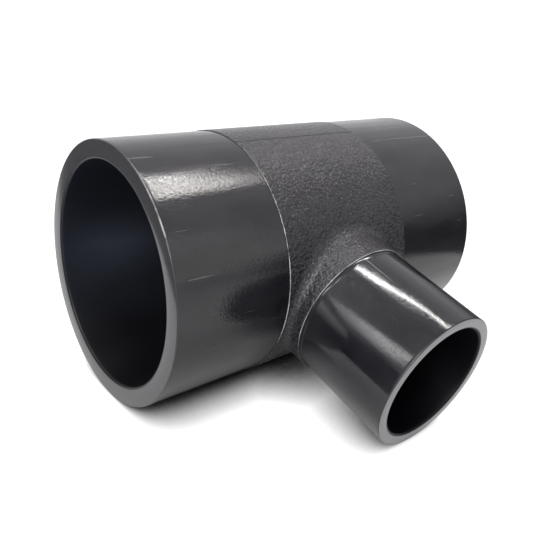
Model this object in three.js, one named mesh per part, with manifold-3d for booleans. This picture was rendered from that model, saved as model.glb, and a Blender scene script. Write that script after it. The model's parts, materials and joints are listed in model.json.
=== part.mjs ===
// Moulded polyethylene reducing tee for butt fusion, 160 mm run with a 90 mm branch.
// Millimetres, +Z up. The tee lies as it rests on a floor: its run is level along X, and it has
// rolled about the run until the rim of the branch touches the floor too.
// The origin is on the floor, under the middle of the tee's bounding box.
//
// The tee is one moulding with four zones, each made by its own part of the mould: a grained
// saddle in the middle, a polished run spigot on either side of it, and a polished branch spigot.
// Each zone is a separate solid, and neighbours meet face to face with a hairline gap.

import * as THREE from "three";
import { mergeVertices } from "three/addons/utils/BufferGeometryUtils.js";
import Module from "manifold-3d";

// Driving dimensions.
const RUN_OD = 160;
const RUN_WALL = 11.8;
const LENGTH = 250;
const BRANCH_OD = 90;
const BRANCH_WALL = 7.5;
const BRANCH_REACH = 159; // from the run's axis to the end of the branch
const RUN_SPIGOT = 74; // length of each polished end of the run
const NECK_REACH = 90; // from the run's axis to the end of the grained neck
const BAND_STEP = 0.5; // how far the grained band stands proud of the run spigots
const NECK_STEP = 1.2; // how far the grained neck stands proud of the branch spigot
const FILLET_SIDE = 4.6; // saddle fillet radius on the two sides that face along the run
const FILLET_TOP = 12; // saddle fillet radius on the two sides across the run
const BORE_BEVEL = 1.4; // bevel at each bore mouth
const RIM_BEVEL = 0.5; // broken outer edge of each spigot's end
const STEP_BEVEL = 0.3; // broken edge of the band and of the neck
const GAP = 0.3; // hairline between neighbouring solids

// Facets round each circle.
const RUN_SEGMENTS = 96;
const BRANCH_SEGMENTS = 72;
const FILLET_SEGMENTS = 6;

// Derived sizes.
const RUN_R = RUN_OD / 2;
const RUN_BORE_R = RUN_R - RUN_WALL;
const BRANCH_R = BRANCH_OD / 2;
const BRANCH_BORE_R = BRANCH_R - BRANCH_WALL;
const BAND_R = RUN_R + BAND_STEP;
const BAND_HALF = LENGTH / 2 - RUN_SPIGOT;
const NECK_R = BRANCH_R + NECK_STEP;
const FILLET_SINK = 0.05; // how far the fillet's foot dips under the band's surface
const OVERCUT = 1; // how far a cutter runs past the face that it opens

// The branch dips by TILT, so that its rim and the band both touch the floor.
const RIM_ALONG = BRANCH_REACH - RIM_BEVEL;
const TILT = Math.asin(BAND_R / Math.hypot(RIM_ALONG, BRANCH_R)) - Math.atan2(BRANCH_R, RIM_ALONG);
const FRONT = BRANCH_REACH * Math.cos(TILT) + (BRANCH_R - RIM_BEVEL) * Math.sin(TILT);
const RUN_AXIS_Y = (FRONT - BAND_R) / 2;

const wasm = await Module();
wasm.setup();

// A closed three.js geometry as a solid for joining and cutting.
function solid(geometry) {
  const shell = geometry.clone();
  shell.deleteAttribute("normal");
  shell.deleteAttribute("uv");
  const merged = mergeVertices(shell, 1e-4);
  return new wasm.Manifold(
    new wasm.Mesh({
      numProp: 3,
      vertProperties: new Float32Array(merged.attributes.position.array),
      triVerts: new Uint32Array(merged.index.array),
    })
  );
}

// A solid back as a three.js geometry.
function geometryOf(manifold) {
  const mesh = manifold.getMesh();
  const geometry = new THREE.BufferGeometry();
  geometry.setAttribute("position", new THREE.BufferAttribute(mesh.vertProperties, 3));
  geometry.setIndex(new THREE.BufferAttribute(mesh.triVerts, 1));
  return geometry;
}

// A closed profile of [radius, height] points turned about +Y.
function turned(profile, segments) {
  const closed = [...profile, profile[0]];
  const points = closed.map(([radius, height]) => new THREE.Vector2(radius, height));
  return new THREE.LatheGeometry(points, segments);
}

// Turns a shape made about +Y so that it lies along X or along the branch, which leaves at -Y.
const alongX = (geometry) => geometry.rotateZ(-Math.PI / 2);
const alongBranch = (geometry) => geometry.rotateX(Math.PI);

// A plain-ended tube: bevelled at the bore mouth and at the rim, square where it joins the saddle.
function spigotProfile(outer, inner, start, end) {
  return [
    [inner, start],
    [outer, start],
    [outer, end - RIM_BEVEL],
    [outer - RIM_BEVEL, end],
    [inner + BORE_BEVEL, end],
    [inner, end - BORE_BEVEL],
  ];
}

function runSpigot() {
  const profile = spigotProfile(RUN_R, RUN_BORE_R, BAND_HALF + GAP, LENGTH / 2);
  return alongX(turned(profile, RUN_SEGMENTS));
}

function branchSpigot() {
  const profile = spigotProfile(BRANCH_R, BRANCH_BORE_R, NECK_REACH + GAP, BRANCH_REACH);
  return alongBranch(turned(profile, BRANCH_SEGMENTS));
}

// The grained band round the run, as a solid bar.
function band() {
  const profile = [
    [0, -BAND_HALF],
    [BAND_R - STEP_BEVEL, -BAND_HALF],
    [BAND_R, -BAND_HALF + STEP_BEVEL],
    [BAND_R, BAND_HALF - STEP_BEVEL],
    [BAND_R - STEP_BEVEL, BAND_HALF],
    [0, BAND_HALF],
  ];
  const points = profile.map(([radius, height]) => new THREE.Vector2(radius, height));
  return alongX(new THREE.LatheGeometry(points, RUN_SEGMENTS));
}

// The fillet's arc at one angle round the neck, from the neck down to the band. It is the arc of
// a ball that rolls in the corner and touches both; the ball grows from the sides to the top.
function filletArc(angle) {
  const ball = FILLET_SIDE + (FILLET_TOP - FILLET_SIDE) * Math.sin(angle) ** 2;
  const across = new THREE.Vector3(Math.cos(angle), 0, Math.sin(angle));
  const centre = across.clone().multiplyScalar(NECK_R + ball);
  const fromRunAxis = BAND_R - FILLET_SINK + ball;
  centre.y = Math.sqrt(fromRunAxis ** 2 - centre.z ** 2);
  const toNeck = across.clone().negate();
  const toBand = new THREE.Vector3(0, -centre.y, -centre.z).divideScalar(fromRunAxis);
  const sweep = toNeck.angleTo(toBand);
  const arc = [];
  for (let step = 0; step <= FILLET_SEGMENTS; step += 1) {
    const part = (sweep * step) / FILLET_SEGMENTS;
    const direction = toNeck.clone().multiplyScalar(Math.sin(sweep - part));
    direction.addScaledVector(toBand, Math.sin(part));
    direction.divideScalar(Math.sin(sweep));
    arc.push(centre.clone().addScaledVector(direction, ball));
  }
  return arc;
}

// The neck with its fillet, as a solid that reaches down to the run's axis. Each column of points
// runs from the middle of the neck's end, over its edge, down the neck and fillet, and inward.
function neck() {
  const columns = [];
  for (let index = 0; index < BRANCH_SEGMENTS; index += 1) {
    const angle = (2 * Math.PI * index) / BRANCH_SEGMENTS;
    const at = (radius, height) =>
      new THREE.Vector3(radius * Math.cos(angle), height, radius * Math.sin(angle));
    const edge = [at(NECK_R - STEP_BEVEL, NECK_REACH), at(NECK_R, NECK_REACH - STEP_BEVEL)];
    const arc = filletArc(angle);
    const foot = arc[arc.length - 1];
    columns.push([...edge, ...arc, new THREE.Vector3(foot.x, 0, foot.z)]);
  }
  return alongBranch(columnsToGeometry(columns, NECK_REACH, 0));
}

// Joins a ring of equal columns into a closed shell, with a fan at its top and at its bottom.
function columnsToGeometry(columns, topHeight, bottomHeight) {
  const rows = columns[0].length;
  const positions = columns.flat().flatMap((point) => [point.x, point.y, point.z]);
  const top = positions.length / 3;
  const bottom = top + 1;
  positions.push(0, topHeight, 0, 0, bottomHeight, 0);
  const faces = [];
  for (let column = 0; column < columns.length; column += 1) {
    const here = column * rows;
    const next = ((column + 1) % columns.length) * rows;
    faces.push(top, next, here);
    faces.push(bottom, here + rows - 1, next + rows - 1);
    for (let row = 0; row < rows - 1; row += 1) {
      faces.push(here + row, next + row, next + row + 1);
      faces.push(here + row, next + row + 1, here + row + 1);
    }
  }
  const geometry = new THREE.BufferGeometry();
  geometry.setAttribute("position", new THREE.Float32BufferAttribute(positions, 3));
  geometry.setIndex(faces);
  return geometry;
}

// The saddle: band and filleted neck joined, with the run bore and the branch bore cut out.
function saddle() {
  const runLength = 2 * BAND_HALF + 2 * OVERCUT;
  const branchLength = NECK_REACH + OVERCUT;
  const runBore = new THREE.CylinderGeometry(RUN_BORE_R, RUN_BORE_R, runLength, RUN_SEGMENTS);
  const branchBore = new THREE.CylinderGeometry(
    BRANCH_BORE_R,
    BRANCH_BORE_R,
    branchLength,
    BRANCH_SEGMENTS
  );
  branchBore.translate(0, branchLength / 2, 0);
  const outside = solid(band()).add(solid(neck()));
  const bored = outside.subtract(solid(alongX(runBore)));
  return geometryOf(bored.subtract(solid(alongBranch(branchBore))));
}

function plastic(color, roughness) {
  return new THREE.MeshStandardMaterial({ color, roughness, metalness: 0 });
}

const GRAINED = plastic(0x3c3c3f, 0.7);
const POLISHED = plastic(0x2b2b2f, 0.3);

function piece(name, geometry, material) {
  const mesh = new THREE.Mesh(geometry, material);
  mesh.name = name;
  return mesh;
}

const leftSpigot = piece("run_spigot_left", runSpigot(), POLISHED);
leftSpigot.rotation.z = Math.PI;
const rightSpigot = piece("run_spigot_right", runSpigot(), POLISHED);

const group = new THREE.Group();
group.add(piece("tee_body", saddle(), GRAINED));
group.add(leftSpigot);
group.add(rightSpigot);
group.add(piece("branch_spigot", branchSpigot(), POLISHED));
group.rotation.x = TILT;
group.position.set(0, RUN_AXIS_Y, BAND_R);

export default group;
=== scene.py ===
import json
import math

import bmesh
import bpy
from mathutils import Matrix, Vector

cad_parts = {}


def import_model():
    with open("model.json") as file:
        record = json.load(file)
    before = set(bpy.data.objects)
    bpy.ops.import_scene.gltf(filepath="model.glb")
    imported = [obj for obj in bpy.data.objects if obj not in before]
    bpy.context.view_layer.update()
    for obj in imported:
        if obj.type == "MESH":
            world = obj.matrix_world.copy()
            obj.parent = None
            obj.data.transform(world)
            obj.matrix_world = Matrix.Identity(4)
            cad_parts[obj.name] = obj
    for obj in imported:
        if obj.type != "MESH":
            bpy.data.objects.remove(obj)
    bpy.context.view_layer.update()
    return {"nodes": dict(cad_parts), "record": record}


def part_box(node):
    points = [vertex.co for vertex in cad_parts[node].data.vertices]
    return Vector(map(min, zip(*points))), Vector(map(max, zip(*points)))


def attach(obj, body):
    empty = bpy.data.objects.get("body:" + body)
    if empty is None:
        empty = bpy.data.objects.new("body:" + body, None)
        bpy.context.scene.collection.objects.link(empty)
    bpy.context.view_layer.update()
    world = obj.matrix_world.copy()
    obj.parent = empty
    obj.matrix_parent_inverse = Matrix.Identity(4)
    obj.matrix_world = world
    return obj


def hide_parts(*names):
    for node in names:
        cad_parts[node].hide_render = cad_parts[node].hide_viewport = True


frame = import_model()

# Lengths are in metres. The main sizes are read from the frame; these are the small details.
MM = 0.001
NECK_STEP = 1.2 * MM  # the grained neck stands this far proud of the branch spigot
FILLET_SIDE = 4.4 * MM  # saddle fillet radius where it faces along the run
FILLET_TOP = 12.0 * MM  # saddle fillet radius where it faces across the run
CROTCH = 3.0 * MM  # rounded edge where the branch bore meets the run bore
STEP_ROUND = 0.3 * MM  # rounded edges of the band and of the neck
RIM_ROUND = 0.6 * MM  # rounded outer edge of each plain end
BORE_ROUND = 1.4 * MM  # rounded edge of each bore mouth
COLLAR = 2.2 * MM  # length of the thin witness ring on the branch, next to the neck
COLLAR_STEP = 0.25 * MM  # how far that ring stands proud of the branch

AROUND = 256  # columns round the branch; a multiple of 8, so that the patch has corners
PATCH_ANGLE = math.radians(60)  # how far round the run the patch under the neck reaches
BACK_STEPS = 96  # rows round the rest of the run, behind the patch
SPIGOT_COLUMNS = 320  # columns round each plain end
ROUND_STEPS = 4  # steps over the rounded edge of the band and of the neck


# ---------------------------------------------------------------- sizes from the frame

def mount(name):
    """A mount's point and direction, from the record."""
    found = next(m for m in frame["record"]["mounts"] if m["name"] == name)
    return Vector(found["pos_m"]), Vector(found["axis"]).normalized()


def reach(node, direction, origin):
    """The furthest that a CAD node goes from origin along direction."""
    return max((v.co - origin).dot(direction) for v in frame["nodes"][node].data.vertices)


run_low, run_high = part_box("run_spigot_right")
_, body_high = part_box("tee_body")
_, branch_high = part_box("branch_spigot")
run_point, _ = mount("run_end_right")
branch_point, TO_BRANCH = mount("branch_end")

ALONG_RUN = Vector((1, 0, 0))
ACROSS = TO_BRANCH.cross(ALONG_RUN)
RUN_CENTRE = Vector((0, (run_low.y + run_high.y) / 2, (run_low.z + run_high.z) / 2))
RUN_R = (run_high.z - run_low.z) / 2
HALF_LENGTH = run_high.x
RUN_BORE = 2 * (run_point.z - RUN_CENTRE.z) - RUN_R
BAND_R = body_high.z - RUN_CENTRE.z
BAND_HALF = body_high.x
BRANCH_R = branch_high.x
BRANCH_BORE = 2 * branch_point.x - BRANCH_R
BRANCH_REACH = reach("branch_spigot", TO_BRANCH, RUN_CENTRE)
NECK_REACH = reach("tee_body", TO_BRANCH, RUN_CENTRE)
NECK_R = BRANCH_R + NECK_STEP
TILT = math.asin(-TO_BRANCH.z)


def place(x, out, across):
    """A point of the tee's own axes: along the run, out along the branch, and across both."""
    return RUN_CENTRE + ALONG_RUN * x + TO_BRANCH * out + ACROSS * across


# ---------------------------------------------------------------- mesh helpers

class Shell:
    """Vertices, and quads with a material number each, that become one closed mesh."""

    def __init__(self):
        self.points = []
        self.faces = []
        self.kinds = []

    def row(self, points):
        first = len(self.points)
        self.points.extend(points)
        return list(range(first, len(self.points)))

    def bridge(self, row_a, row_b, kind, wrap=True):
        count = len(row_a)
        for i in range(count if wrap else count - 1):
            j = (i + 1) % count
            self.faces.append((row_a[i], row_a[j], row_b[j], row_b[i]))
            self.kinds.append(kind)

    def piece(self, name, materials, sharp=40):
        mesh = bpy.data.meshes.new(name)
        mesh.from_pydata(self.points, [], self.faces)
        for material in materials:
            mesh.materials.append(material)
        mesh.polygons.foreach_set("material_index", self.kinds)
        shape = bmesh.new()
        shape.from_mesh(mesh)
        bmesh.ops.recalc_face_normals(shape, faces=shape.faces)
        shape.to_mesh(mesh)
        shape.free()
        mesh.shade_smooth()
        mesh.set_sharp_from_angle(angle=math.radians(sharp))
        made = bpy.data.objects.new(name, mesh)
        bpy.context.scene.collection.objects.link(made)
        return made


def corner(centre, radius, start, end, steps):
    """Points (along, radius) on an arc, from the angle start to the angle end in degrees."""
    for step in range(steps + 1):
        angle = math.radians(start + (end - start) * step / steps)
        yield centre[0] + radius * math.cos(angle), centre[1] + radius * math.sin(angle)


def spread(start, end, steps):
    """Steps of equal length after start, up to and including end."""
    return [start + (end - start) * (i + 1) / steps for i in range(steps)]


# ---------------------------------------------------------------- saddle

def ball_arc(angle, run_r, tube_r, ball, steps):
    """The arc of a ball rolling between a tube round the branch axis and one round the run.
    It goes from the branch tube to the run tube, as (along run, out, across)."""
    side = Vector((math.cos(angle), 0, math.sin(angle)))
    centre = side * (tube_r + ball)
    centre.y = math.sqrt((run_r + ball) ** 2 - centre.z**2)
    to_tube = -side
    to_run = Vector((0, -centre.y, -centre.z)).normalized()
    return [centre + to_tube.slerp(to_run, step / steps) * ball for step in range(steps + 1)]


def patch_edge(angle, half):
    """Where a ray at this angle round the branch leaves the patch: along the run, turn round it."""
    c, s = math.cos(angle), math.sin(angle)
    if abs(c) >= abs(s) - 1e-9:
        return math.copysign(half, c), PATCH_ANGLE * s / abs(c)
    return half * c / abs(s), math.copysign(PATCH_ANGLE, s)


def back_turn(step):
    """The turn round the run of a row behind the patch."""
    return PATCH_ANGLE + (2 * math.pi - 2 * PATCH_ANGLE) * step / BACK_STEPS


def tee_skin(shell, run_r, tube_r, half, ball_at, top, kind):
    """One skin of the saddle, outer or inner: the branch tube, the blend and the run tube.
    Returns the ring at the top of the neck and the rings at the two ends of the band."""
    arc_steps, tube_steps, patch_steps = 12, 8, 14
    rows = []
    for column in range(AROUND):
        angle = 2 * math.pi * column / AROUND
        arc = ball_arc(angle, run_r, tube_r, ball_at(angle), arc_steps)
        rise = [top] + spread(top, arc[0].y, tube_steps)[:-1]
        local = [Vector((arc[0].x, out, arc[0].z)) for out in rise] + arc
        foot = arc[-1]
        foot_turn = math.atan2(foot.z, foot.y)
        edge_x, edge_turn = patch_edge(angle, half)
        for part in spread(0, 1, patch_steps):
            x = foot.x + (edge_x - foot.x) * part
            turn = foot_turn + (edge_turn - foot_turn) * part
            local.append(Vector((x, run_r * math.cos(turn), run_r * math.sin(turn))))
        rows.append(shell.row([place(*point) for point in local]))
    rings = list(zip(*rows))
    for ring_a, ring_b in zip(rings, rings[1:]):
        shell.bridge(ring_a, ring_b, kind)
    edge = rings[-1]
    eighth = AROUND // 8
    start = [edge[i] for i in range(eighth, 3 * eighth + 1)]
    end = [edge[i] for i in range(7 * eighth, 5 * eighth - 1, -1)]
    back = [start]
    for step in range(1, BACK_STEPS):
        turn = back_turn(step)
        line = []
        for column in range(eighth, 3 * eighth + 1):
            x, _ = patch_edge(2 * math.pi * column / AROUND, half)
            line.append(place(x, run_r * math.cos(turn), run_r * math.sin(turn)))
        back.append(shell.row(line))
    back.append(end)
    for line_a, line_b in zip(back, back[1:]):
        shell.bridge(line_a, line_b, kind, wrap=False)
    front_right = [edge[i % AROUND] for i in range(-eighth, eighth)]
    right = front_right + [line[0] for line in back[:-1]]
    front_left = [edge[i] for i in range(5 * eighth, 3 * eighth, -1)]
    left = front_left + [line[-1] for line in back[:-1]]
    return rings[0], right, left


def saddle_blend(angle):
    """The outer fillet's radius at an angle round the branch."""
    return FILLET_SIDE + (FILLET_TOP - FILLET_SIDE) * math.sin(angle) ** 2


def end_turns():
    """The turns round the run of the points on a band end, in the order that tee_skin gives."""
    eighth = AROUND // 8
    front = [patch_edge(2 * math.pi * i / AROUND, 1)[1] for i in range(-eighth, eighth)]
    return front + [back_turn(step) for step in range(BACK_STEPS)]


def rounded_step(end, radius):
    """Points (along, radius) over the rounded edge of a band or neck, after its first point."""
    centre = (end - STEP_ROUND, radius - STEP_ROUND)
    return list(corner(centre, STEP_ROUND, 90, 0, ROUND_STEPS))[1:]


def saddle(materials):
    """The grained middle. Materials: 0 is the grain, 1 the bore, 2 the worn edge of each step, with
    its painted highlight.
    """
    shell = Shell()
    outer_half = BAND_HALF - STEP_ROUND
    outer = tee_skin(
        shell, BAND_R, NECK_R, outer_half, saddle_blend, NECK_REACH - STEP_ROUND, 0
    )
    inner = tee_skin(
        shell, RUN_BORE, BRANCH_BORE, BAND_HALF, lambda angle: CROTCH, NECK_REACH, 1
    )
    # The neck's end: a rounded edge, then a flat ring in to the bore.
    last = outer[0]
    for out, radius in rounded_step(NECK_REACH, NECK_R):
        ring = []
        for column in range(AROUND):
            angle = 2 * math.pi * column / AROUND
            ring.append(place(radius * math.cos(angle), out, radius * math.sin(angle)))
        ring = shell.row(ring)
        shell.bridge(last, ring, 2)
        last = ring
    shell.bridge(last, inner[0], 0)
    # The band's two ends, made the same way.
    for sign, outside, inside in ((1, outer[1], inner[1]), (-1, outer[2], inner[2])):
        last = outside
        for x, radius in rounded_step(BAND_HALF, BAND_R):
            ring = [
                place(sign * x, radius * math.cos(turn), radius * math.sin(turn))
                for turn in end_turns()
            ]
            ring = shell.row(ring)
            shell.bridge(last, ring, 2)
            last = ring
        shell.bridge(last, inside, 0)
    return shell.piece("saddle", materials)


# ---------------------------------------------------------------- spigots

def spigot_profile(outer, bore, start, end, collar):
    """The closed outline of a plain end, as (along, radius, kind of the stretch after it).
    Kinds: 0 is the polished outside, 1 the plain end face, 2 the bore, 3 the worn outer edge, which
    has a painted highlight on the run's ends."""
    outside_steps, rim_steps, mouth_steps, bore_steps = 40, 5, 6, 24
    points = [(start, outer + (COLLAR_STEP if collar else 0), 0)]
    smooth_start = start
    if collar:
        points.append((start + COLLAR - COLLAR_STEP, outer + COLLAR_STEP, 0))
        points.append((start + COLLAR, outer + COLLAR_STEP * 0.7, 0))
        points.append((start + COLLAR, outer, 0))
        smooth_start = start + COLLAR
    points += [(a, outer, 0) for a in spread(smooth_start, end - RIM_ROUND, outside_steps)]
    rim = corner((end - RIM_ROUND, outer - RIM_ROUND), RIM_ROUND, 90, 0, rim_steps)
    points[-1] = (points[-1][0], points[-1][1], 3)
    points += [(a, r, 3) for a, r in list(rim)[1:]]
    points[-1] = (points[-1][0], points[-1][1], 1)
    mouth = corner((end - BORE_ROUND, bore + BORE_ROUND), BORE_ROUND, 0, -90, mouth_steps)
    points += [(a, r, 2) for a, r in mouth]
    points += [(a, bore, 2) for a in spread(end - BORE_ROUND, start, bore_steps)]
    return points


def spigot(name, profile, position, materials):
    """Turns the profile; position(along, radius, angle) gives each point."""
    shell = Shell()
    rings = []
    angles = [2 * math.pi * i / SPIGOT_COLUMNS for i in range(SPIGOT_COLUMNS)]
    for along, radius, _ in profile:
        rings.append(shell.row([position(along, radius, angle) for angle in angles]))
    kinds = [kind for _, _, kind in profile]
    kinds[-1] = 0  # the hidden ring where the end meets the saddle
    for i, ring in enumerate(rings):
        shell.bridge(ring, rings[(i + 1) % len(rings)], kinds[i])
    return shell.piece(name, materials)


def run_position(sign):
    """Places the points of a run end: sign is -1 for the left end and 1 for the right one."""

    def position(along, radius, angle):
        return place(sign * along, radius * math.cos(angle), radius * math.sin(angle))

    return position


def branch_position(along, radius, angle):
    """Places the points of the branch's end."""
    return place(radius * math.cos(angle), along, radius * math.sin(angle))


# ---------------------------------------------------------------- materials

class Nodes:
    """A short way to write one material's node tree."""

    def __init__(self, name):
        self.material = bpy.data.materials.new(name)
        self.material.use_nodes = True
        self.tree = self.material.node_tree
        self.shader = self.tree.nodes["Principled BSDF"]

    def add(self, kind, inputs=None, **settings):
        node = self.tree.nodes.new(kind)
        for key, value in settings.items():
            setattr(node, key, value)
        for key, value in (inputs or {}).items():
            self.set(node.inputs[key], value)
        return node

    def set(self, socket, value):
        if isinstance(value, bpy.types.NodeSocket):
            self.tree.links.new(value, socket)
        else:
            socket.default_value = value

    def math(self, operation, a, b=0.0):
        node = self.add("ShaderNodeMath", operation=operation)
        self.set(node.inputs[0], a)
        self.set(node.inputs[1], b)
        return node.outputs[0]

    def ramp(self, value, low, high, out_low=0.0, out_high=1.0):
        """Maps value from low..high to out_low..out_high, held at both ends."""
        node = self.add("ShaderNodeMapRange", {"Value": value, "From Min": low, "From Max": high})
        node.inputs["To Min"].default_value = out_low
        node.inputs["To Max"].default_value = out_high
        return node.outputs[0]

    def noise(self, place_at, scale, detail=2.0, rough=0.5):
        node = self.add(
            "ShaderNodeTexNoise",
            {"Vector": place_at, "Scale": scale, "Detail": detail, "Roughness": rough},
        )
        return node.outputs["Fac"]

    def tone(self, factor, dark, light):
        """A colour between dark, at factor 0, and light, at factor 1."""
        node = self.add("ShaderNodeMix", data_type="RGBA")
        self.set(node.inputs["Factor"], factor)
        node.inputs["A"].default_value = (*dark, 1)
        node.inputs["B"].default_value = (*light, 1)
        return node.outputs["Result"]

    def bump(self, height, distance, below=None):
        node = self.add("ShaderNodeBump", {"Height": height, "Distance": distance})
        node.inputs["Strength"].default_value = 1.0
        if below is not None:
            self.set(node.inputs["Normal"], below)
        return node.outputs["Normal"]


def object_place(nodes, stretch=(1, 1, 1), turn=0.0):
    """Coordinates in metres on the part, turned about X and squeezed along the chosen axes."""
    coordinates = nodes.add("ShaderNodeTexCoord").outputs["Object"]
    turned = nodes.add("ShaderNodeVectorRotate", {"Vector": coordinates}, rotation_type="X_AXIS")
    turned.inputs["Angle"].default_value = turn
    squeezed = nodes.add(
        "ShaderNodeVectorMath", {0: turned.outputs[0], 1: stretch}, operation="MULTIPLY"
    )
    return squeezed.outputs[0]


def distance_along(nodes, direction):
    """How far a point lies from the run's centre along a direction."""
    coordinates = nodes.add("ShaderNodeTexCoord").outputs["Object"]
    dot = nodes.add("ShaderNodeVectorMath", {0: coordinates, 1: direction}, operation="DOT_PRODUCT")
    return nodes.math("SUBTRACT", dot.outputs["Value"], RUN_CENTRE.dot(direction))


def parting_line(nodes, half_width):
    """1 on the mould's parting line, which runs along the run a quarter turn from the branch."""
    off = nodes.math("ABSOLUTE", distance_along(nodes, TO_BRANCH))
    return nodes.ramp(off, half_width * 0.5, half_width, 1.0, 0.0)


def strokes(nodes, turn, tilt, scale, rare):
    """Short straight scratches, tapered at both ends: 1 on a scratch and 0 between them."""
    spot = object_place(nodes, turn=turn)
    tilted = nodes.add("ShaderNodeVectorRotate", {"Vector": spot}, rotation_type="Z_AXIS")
    tilted.inputs["Angle"].default_value = tilt
    drawn = nodes.add(
        "ShaderNodeVectorMath", {0: tilted.outputs[0], 1: (0.035, 1, 1)}, operation="MULTIPLY"
    )
    return nodes.ramp(nodes.noise(drawn.outputs[0], scale, 0.0), rare, rare + 0.03)


def burr_with_painted_highlight(name, lowest, pale):
    """The thin flash on an edge, with a painted highlight: pale only above the height lowest, on the
    left, towards the branch, where light catches it.
    """
    n = Nodes(name)
    spot = object_place(n)
    patchy = n.ramp(n.noise(spot, 90.0, 3.0, 0.6), 0.30, 0.55)
    # Painted highlight: the pale edge shows only towards the branch, on the left and above the height
    # lowest, where light catches it.
    front = n.ramp(distance_along(n, TO_BRANCH), 10 * MM, 40 * MM)
    height = n.add("ShaderNodeSeparateXYZ", {"Vector": spot}).outputs["Z"]
    left = n.ramp(distance_along(n, ALONG_RUN), 5 * MM, 30 * MM, 1.0, 0.0)
    side = n.math("MULTIPLY", front, left)
    high = n.ramp(height, lowest, lowest + 15 * MM)
    painted_highlight_mask = n.math("MULTIPLY", n.math("MULTIPLY", patchy, side), high)
    light = (pale, pale * 0.98, pale * 0.98)
    n.set(n.shader.inputs["Base Color"], n.tone(painted_highlight_mask, (0.012, 0.012, 0.013), light))
    n.set(n.shader.inputs["Roughness"], n.ramp(painted_highlight_mask, 0.0, 1.0, 0.28, 0.5))
    n.set(n.shader.inputs["Normal"], n.bump(n.noise(spot, 700.0), 0.05 * MM))
    return n.material


def grained():
    """Leather grain from the mould: dark pits between paler tops, and the mould's parting line."""
    n = Nodes("grained_polyethylene")
    spot = object_place(n)
    cells = n.add("ShaderNodeTexVoronoi", {"Vector": spot, "Scale": 580.0}, feature="SMOOTH_F1")
    cell = n.ramp(cells.outputs["Distance"], 0.05, 0.65, 1.0, 0.0)
    fine = n.noise(spot, 900.0, 3.0, 0.6)
    broad = n.noise(spot, 45.0, 3.0, 0.5)
    line = parting_line(n, 0.55 * MM)
    grain = n.math("ADD", n.math("MULTIPLY", cell, 0.9), n.math("MULTIPLY", fine, 0.7))
    grain = n.math("SUBTRACT", grain, n.math("MULTIPLY", line, 1.5))
    tone = n.math("ADD", n.math("MULTIPLY", cell, 0.6), n.math("MULTIPLY", broad, 0.4))
    tone = n.math("ADD", tone, n.math("MULTIPLY", n.math("SUBTRACT", fine, 0.5), 1.6))
    tone = n.math("SUBTRACT", tone, n.math("MULTIPLY", line, 2.0))
    n.set(n.shader.inputs["Base Color"], n.tone(tone, (0.002, 0.002, 0.003), (0.026, 0.024, 0.027)))
    rough = n.math("ADD", n.ramp(fine, 0.35, 0.65, 0.16, 0.34), n.math("MULTIPLY", line, 0.4))
    n.set(n.shader.inputs["Roughness"], rough)
    n.shader.inputs["Specular IOR Level"].default_value = 0.33
    n.set(n.shader.inputs["Normal"], n.bump(grain, 0.46 * MM))
    return n.material


def polished(name, peel_depth, marks_depth, gloss_range, turn=0.0, axis="x"):
    """As-moulded polyethylene: glossy, uneven lengthwise, with orange peel and scratches.
    turn and axis line the pattern up with the run (axis x) or with the tilted branch (axis y)."""
    n = Nodes(name)
    drag = (0.10, 1, 1) if axis == "x" else (1, 0.10, 1)
    smear = (0.45, 1, 1) if axis == "x" else (1, 0.45, 1)
    spot = object_place(n, turn=turn)
    lengthwise = object_place(n, drag, turn)
    peel = n.noise(spot, 820.0, 2.0, 0.5)
    waves = n.noise(lengthwise, 70.0, 1.0, 0.5)
    marks = n.noise(lengthwise, 1500.0, 2.0, 0.6)
    cloud = n.noise(spot, 35.0, 4.0, 0.6)
    along = 0.0 if axis == "x" else math.pi / 2
    scratch = strokes(n, turn, along + 0.03, 620.0, 0.81)
    film = n.ramp(n.noise(object_place(n, smear, turn), 42.0, 4.0, 0.6), 0.32, 0.68)
    skin = n.tone(film, (0.001, 0.001, 0.002), (0.009, 0.0085, 0.0105))
    worn = n.add("ShaderNodeMix", {"Factor": scratch}, data_type="RGBA")
    n.set(worn.inputs["A"], skin)
    worn.inputs["B"].default_value = (0.04, 0.04, 0.04, 1)
    n.set(n.shader.inputs["Base Color"], worn.outputs["Result"])
    uneven = n.math("ADD", n.math("MULTIPLY", cloud, 0.5), n.math("MULTIPLY", waves, 0.5))
    gloss = n.ramp(uneven, 0.35, 0.65, *gloss_range)
    gloss = n.math("ADD", gloss, n.ramp(peel, 0.35, 0.65, -0.05, 0.07))
    n.set(n.shader.inputs["Roughness"], n.math("ADD", gloss, n.math("MULTIPLY", scratch, 0.2)))
    n.shader.inputs["Specular IOR Level"].default_value = 0.47
    low = n.bump(waves, 0.40 * MM)
    middle = n.bump(peel, peel_depth, below=low)
    fine = n.bump(marks, marks_depth, below=middle)
    n.set(n.shader.inputs["Normal"], n.bump(scratch, -0.03 * MM, below=fine))
    return n.material


def trimmed(name, dark, light):
    """The plain end face, paler than the skin of the moulding."""
    n = Nodes(name)
    spot = object_place(n)
    cloud = n.noise(spot, 60.0, 4.0, 0.6)
    fine = n.noise(spot, 1100.0, 2.0, 0.5)
    n.set(n.shader.inputs["Base Color"], n.tone(cloud, dark, light))
    n.set(n.shader.inputs["Roughness"], n.ramp(cloud, 0.3, 0.7, 0.10, 0.17))
    n.set(n.shader.inputs["Normal"], n.bump(fine, 0.006 * MM))
    return n.material


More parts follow.
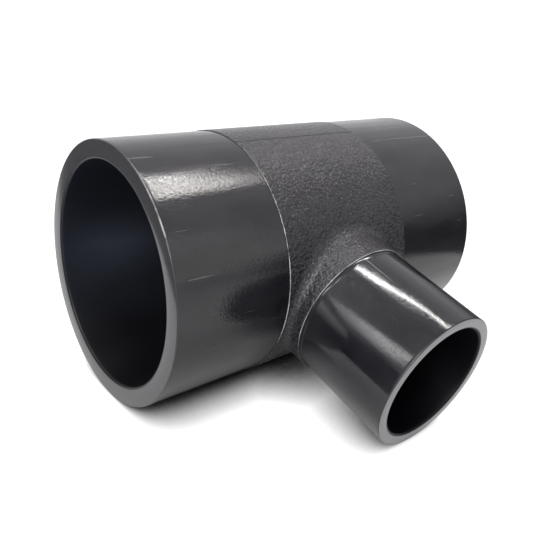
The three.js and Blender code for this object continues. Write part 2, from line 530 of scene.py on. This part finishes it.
def bore(name, light, shine):
    """The inside of the tube: smooth and very dark, a little paler towards the top, with a painted
    sheen: a faint pale streak in the run's left end.
    """
    n = Nodes(name)
    spot = object_place(n)
    height = n.add("ShaderNodeSeparateXYZ", {"Vector": spot}).outputs["Z"]
    cloud = n.noise(spot, 13.0, 2.0, 0.5)
    streak = n.noise(object_place(n, (0.25, 1, 1)), 45.0, 2.0, 0.5)
    # Painted sheen: a pale streak on the wall at a fixed height, near the run's left end.
    above_painted_sheen = n.math("ABSOLUTE", n.math("SUBTRACT", height, RUN_R - 10 * MM))
    beside_painted_sheen = n.math("ABSOLUTE", n.math("ADD", distance_along(n, ALONG_RUN), 85 * MM))
    painted_sheen = n.math(
        "MULTIPLY",
        n.ramp(above_painted_sheen, 2 * MM, 26 * MM, 1.0, 0.0),
        n.ramp(beside_painted_sheen, 8 * MM, 45 * MM, 1.0, 0.0),
    )
    painted_sheen = n.math("MULTIPLY", painted_sheen, n.ramp(streak, 0.30, 0.60, 0.45, 0.7))
    height_tone_and_painted_sheen = n.math("ADD", n.ramp(height, 20 * MM, 60 * MM, 0.0, 0.3), painted_sheen)
    n.set(n.shader.inputs["Base Color"], n.tone(height_tone_and_painted_sheen, (0.001, 0.001, 0.002), light))
    n.set(n.shader.inputs["Roughness"], n.ramp(cloud, 0.3, 0.7, 0.35, 0.5))
    n.shader.inputs["Specular IOR Level"].default_value = shine
    n.set(n.shader.inputs["Normal"], n.bump(cloud, 0.4 * MM))
    return n.material


# ---------------------------------------------------------------- the object

run_skin = polished("polished_run", 0.075 * MM, 0.004 * MM, (0.11, 0.19))
branch_skin = polished("polished_branch", 0.020 * MM, 0.030 * MM, (0.06, 0.11), turn=-TILT, axis="y")
# One cut face in two tones: the branch's paler end tone is painted light, a lit copy of the run's end
# tone.
end_face = trimmed("trimmed_run_end", (0.020, 0.020, 0.022), (0.030, 0.029, 0.032))
branch_face_painted_light = trimmed("trimmed_branch_end_painted_light", (0.072, 0.070, 0.075), (0.100, 0.097, 0.104))
# Each bore's paler colour is what its paler upper wall and its painted sheen reach.
bore_skin = bore("run_bore_wall", (0.020, 0.024, 0.036), 0.28)
branch_bore = bore("branch_bore_wall", (0.003, 0.003, 0.004), 0.12)
# Rounded edges with a painted highlight: a pale line where light catches the rims and the band and
# neck steps.
rim_burr_and_highlight = burr_with_painted_highlight("rim_burr_painted_highlight", 112 * MM, 0.20)
step_burr_and_highlight = burr_with_painted_highlight("step_burr_painted_highlight", 45 * MM, 0.27)

body = saddle([grained(), bore_skin, step_burr_and_highlight])
run_profile = spigot_profile(RUN_R, RUN_BORE, BAND_HALF, HALF_LENGTH, collar=False)
left = spigot("left_run_end", run_profile, run_position(-1), [run_skin, end_face, bore_skin, rim_burr_and_highlight])
right = spigot("right_run_end", run_profile, run_position(1), [run_skin, end_face, bore_skin, rim_burr_and_highlight])
branch_profile = spigot_profile(BRANCH_R, BRANCH_BORE, NECK_REACH, BRANCH_REACH, collar=True)
branch = spigot(
    "branch_end", branch_profile, branch_position, [branch_skin, branch_face_painted_light, branch_bore, branch_skin]
)

for piece, node, slot in (
    (body, "tee_body", "grained_body"),
    (left, "run_spigot_left", "polished_run"),
    (right, "run_spigot_right", "polished_run"),
    (branch, "branch_spigot", "polished_branch"),
):
    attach(piece, "root")
    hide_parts(node)


# ---------------------------------------------------------------- floor, light and camera

def floor():
    """A plain white floor that glows evenly, with a painted shadow: it darkens where the tee is close
    above it.
    """
    size = 12.0
    mesh = bpy.data.meshes.new("floor")
    corners = [(-size, -size, 0), (size, -size, 0), (size, size, 0), (-size, size, 0)]
    mesh.from_pydata(corners, [], [(0, 1, 2, 3)])
    made = bpy.data.objects.new("floor", mesh)
    bpy.context.scene.collection.objects.link(made)
    n = Nodes("white_floor")
    # Painted shadow: nearness to the tee dims both the floor's colour and its light.
    near = n.add("ShaderNodeAmbientOcclusion", samples=24)
    near.inputs["Distance"].default_value = 0.036
    outside_painted_shadow = n.math("POWER", n.ramp(near.outputs["AO"], 0.18, 0.61), 0.8)
    n.set(n.shader.inputs["Base Color"], n.tone(outside_painted_shadow, (0.005, 0.005, 0.005), (0.15, 0.15, 0.15)))
    n.set(n.shader.inputs["Emission Strength"], outside_painted_shadow)
    n.shader.inputs["Emission Color"].default_value = (1, 1, 1, 1)
    n.shader.inputs["Roughness"].default_value = 0.9
    n.shader.inputs["Specular IOR Level"].default_value = 0.1
    mesh.materials.append(n.material)


def glow_card(name, corners, radiance, fade=None, colour=(1, 1, 1)):
    """A softbox: a flat black card that gives off light, and that the camera doesn't see.
    fade is (start, end): the light falls from full to nothing between those two points."""
    mesh = bpy.data.meshes.new(name)
    mesh.from_pydata(corners, [], [tuple(range(len(corners)))])
    made = bpy.data.objects.new(name, mesh)
    bpy.context.scene.collection.objects.link(made)
    n = Nodes(name)
    n.shader.inputs["Base Color"].default_value = (0, 0, 0, 1)
    n.shader.inputs["Emission Color"].default_value = (*colour, 1)
    n.shader.inputs["Emission Strength"].default_value = radiance
    if fade:
        start, end = (Vector(point) for point in fade)
        way = (end - start) / (end - start).length_squared
        spot = n.add("ShaderNodeTexCoord").outputs["Object"]
        along = n.add("ShaderNodeVectorMath", {0: spot, 1: way}, operation="DOT_PRODUCT")
        shift = start.dot(way)
        level = n.ramp(along.outputs["Value"], shift, shift + 1, radiance, 0.0)
        n.set(n.shader.inputs["Emission Strength"], level)
    mesh.materials.append(n.material)
    made.visible_camera = False


def dark_card(name, centre, half_across, half_up, soft, cover=1.0):
    """A dark card that only reflections and other light rays meet: the camera doesn't see it.
    soft says where its edges start to fade, as shares of its two half sizes, and cover how dense
    it is in the middle."""
    mesh = bpy.data.meshes.new(name)
    centre, a, b = Vector(centre), Vector(half_across), Vector(half_up)
    corners = [centre - a - b, centre + a - b, centre + a + b, centre - a + b]
    mesh.from_pydata(corners, [], [(0, 1, 2, 3)])
    made = bpy.data.objects.new(name, mesh)
    bpy.context.scene.collection.objects.link(made)
    n = Nodes(name)
    spot = n.add("ShaderNodeTexCoord").outputs["Object"]
    off = n.add("ShaderNodeVectorMath", {0: spot, 1: centre}, operation="SUBTRACT").outputs[0]
    for way, start in ((a, soft[0]), (b, soft[1])):
        along = n.add(
            "ShaderNodeVectorMath", {0: off, 1: way / way.length_squared}, operation="DOT_PRODUCT"
        )
        edge = n.ramp(n.math("ABSOLUTE", along.outputs["Value"]), start, 1.0, 1.0, 0.0)
        cover = n.math("MULTIPLY", edge, cover)
    n.set(n.shader.inputs["Alpha"], cover)
    n.shader.inputs["Base Color"].default_value = (0.06, 0.06, 0.065, 1)
    n.shader.inputs["Roughness"].default_value = 1.0
    mesh.materials.append(n.material)
    made.visible_camera = False
    made.visible_shadow = False


def above(point, u, v):
    """Where a ray that leaves a point towards (u, v, 1) meets the height of the cards."""
    card_height = 2.0
    rise = card_height - point.z
    return point + Vector((u, v, 1)) * rise


def away(point, azimuth, elevation, distance):
    """A point at a compass angle (0 is +Y, 90 is +X) and a height angle from another point."""
    a, e = math.radians(azimuth), math.radians(elevation)
    way = Vector((math.sin(a) * math.cos(e), math.cos(a) * math.cos(e), math.sin(e)))
    return point + way * distance


def lights():
    """Softboxes and flags, each placed from the spot on the tee that shows its reflection."""
    warm = (1.0, 0.965, 0.94)
    run_spot = Vector((-0.095, -0.005, 0.147))
    run_front = Vector((-0.090, -0.030, 0.100))
    branch_spot = Vector((-0.014, -0.088, 0.094))
    branch_side = Vector((-0.036, -0.095, 0.075))
    fillet = Vector((-0.037, -0.041, 0.090))
    over_run = ((0.46, -0.18), (0.78, -0.165), (0.56, 0.225), (0.46, 0.19))
    wedge = [above(run_spot, *uv) for uv in over_run]
    wedge_fade = (above(run_spot, 0.42, 0.0), above(run_spot, 1.03, 0.0))
    glow_card("softbox_wedge", wedge, 22.0, wedge_fade, warm)
    over_branch = ((0.0, 0.335), (0.10, 0.335), (0.55, 0.185), (0.51, 0.185))
    strip = [above(branch_spot, *uv) for uv in over_branch]
    glow_card("softbox_strip", strip, 95.0)
    left = ((-59.5, 23), (-59.5, 30), (-69, 43), (-73, 47), (-73, 33), (-69, 25))
    window = [away(branch_side, a, e, 1.5) for a, e in left]
    fade = (away(branch_side, -72, 40, 1.5), away(branch_side, -54, 26, 1.5))
    glow_card("softbox_left", window, 9.0, fade)
    patch = ((-67, 35), (-67, 42), (-76, 49), (-76, 40))
    glow_card("softbox_patch", [away(branch_side, a, e, 1.4) for a, e in patch], 8.0)
    over_neck = ((-0.40, 0.40), (0.0, 0.40), (0.0, 0.52), (-0.45, 0.52))
    glow_card("softbox_neck", [above(fillet, *uv) for uv in over_neck], 24.0)
    side = [away(fillet, a, e, 1.6) for a, e in ((-124, 0), (-113, 0), (-98, 60), (-112, 60))]
    side_fade = (away(fillet, -108, 50, 1.6), away(fillet, -118, -8, 1.6))
    glow_card("softbox_side", side, 38.0, side_fade)
    rear = [away(fillet, a, e, 1.6) for a, e in ((-178, 52), (-112, 52), (-112, 60), (-178, 60))]
    glow_card("softbox_rear", rear, 8.0)
    low = [away(run_front, a, e, 1.6) for a, e in ((139, 4), (166, 4), (166, 40), (139, 40))]
    glow_card("softbox_low", low, 1.6)
    dark_card("flag_left", (-0.25, 0.35, 0), (0, 0.42, 0), (0, 0, 0.185), (0.95, 0.72))
    dark_card("flag_right", (0.25, -0.15, 0), (0, 0.35, 0), (0, 0, 0.20), (0.90, 0.50))
    # Painted shade: a half-clear grey sheet on the floor round the tee, seen only in reflections,
    # stands in for the floor's shade there.
    dark_card("painted_shade_underlay", (-0.04, -0.01, 0.0004), (0.17, 0, 0), (0, 0.14, 0), (0.1, 0.1), 0.55)


def world():
    """Even pale light from all round."""
    scene = bpy.context.scene
    scene.world = bpy.data.worlds.new("studio")
    scene.world.use_nodes = True
    back = scene.world.node_tree.nodes["Background"]
    back.inputs["Color"].default_value = (1.0, 0.985, 1.02, 1)
    back.inputs["Strength"].default_value = 1.04


def camera():
    """The photograph's view: azimuth is the compass angle that the camera looks along, and it
    looks down by the elevation."""
    place_at = (-0.2813, -0.2940, 0.2449)
    azimuth, elevation, roll = (math.radians(a) for a in (44.31, 17.29, 5.59))
    forward = Vector((
        math.sin(azimuth) * math.cos(elevation),
        math.cos(azimuth) * math.cos(elevation),
        -math.sin(elevation),
    ))
    level = forward.cross(Vector((0, 0, 1))).normalized()
    upright = level.cross(forward)
    side = level * math.cos(roll) + upright * math.sin(roll)
    up = upright * math.cos(roll) - level * math.sin(roll)
    data = bpy.data.cameras.new("camera")
    data.lens = 42.37
    data.sensor_width = 36.0
    data.shift_x = -0.0866
    data.shift_y = -0.1274
    made = bpy.data.objects.new("camera", data)
    turned = Matrix((side, up, -forward)).transposed().to_4x4()
    made.matrix_world = Matrix.Translation(place_at) @ turned
    bpy.context.scene.collection.objects.link(made)
    bpy.context.scene.camera = made


floor()
world()
lights()
camera()
bpy.context.scene.view_settings.view_transform = "Standard"
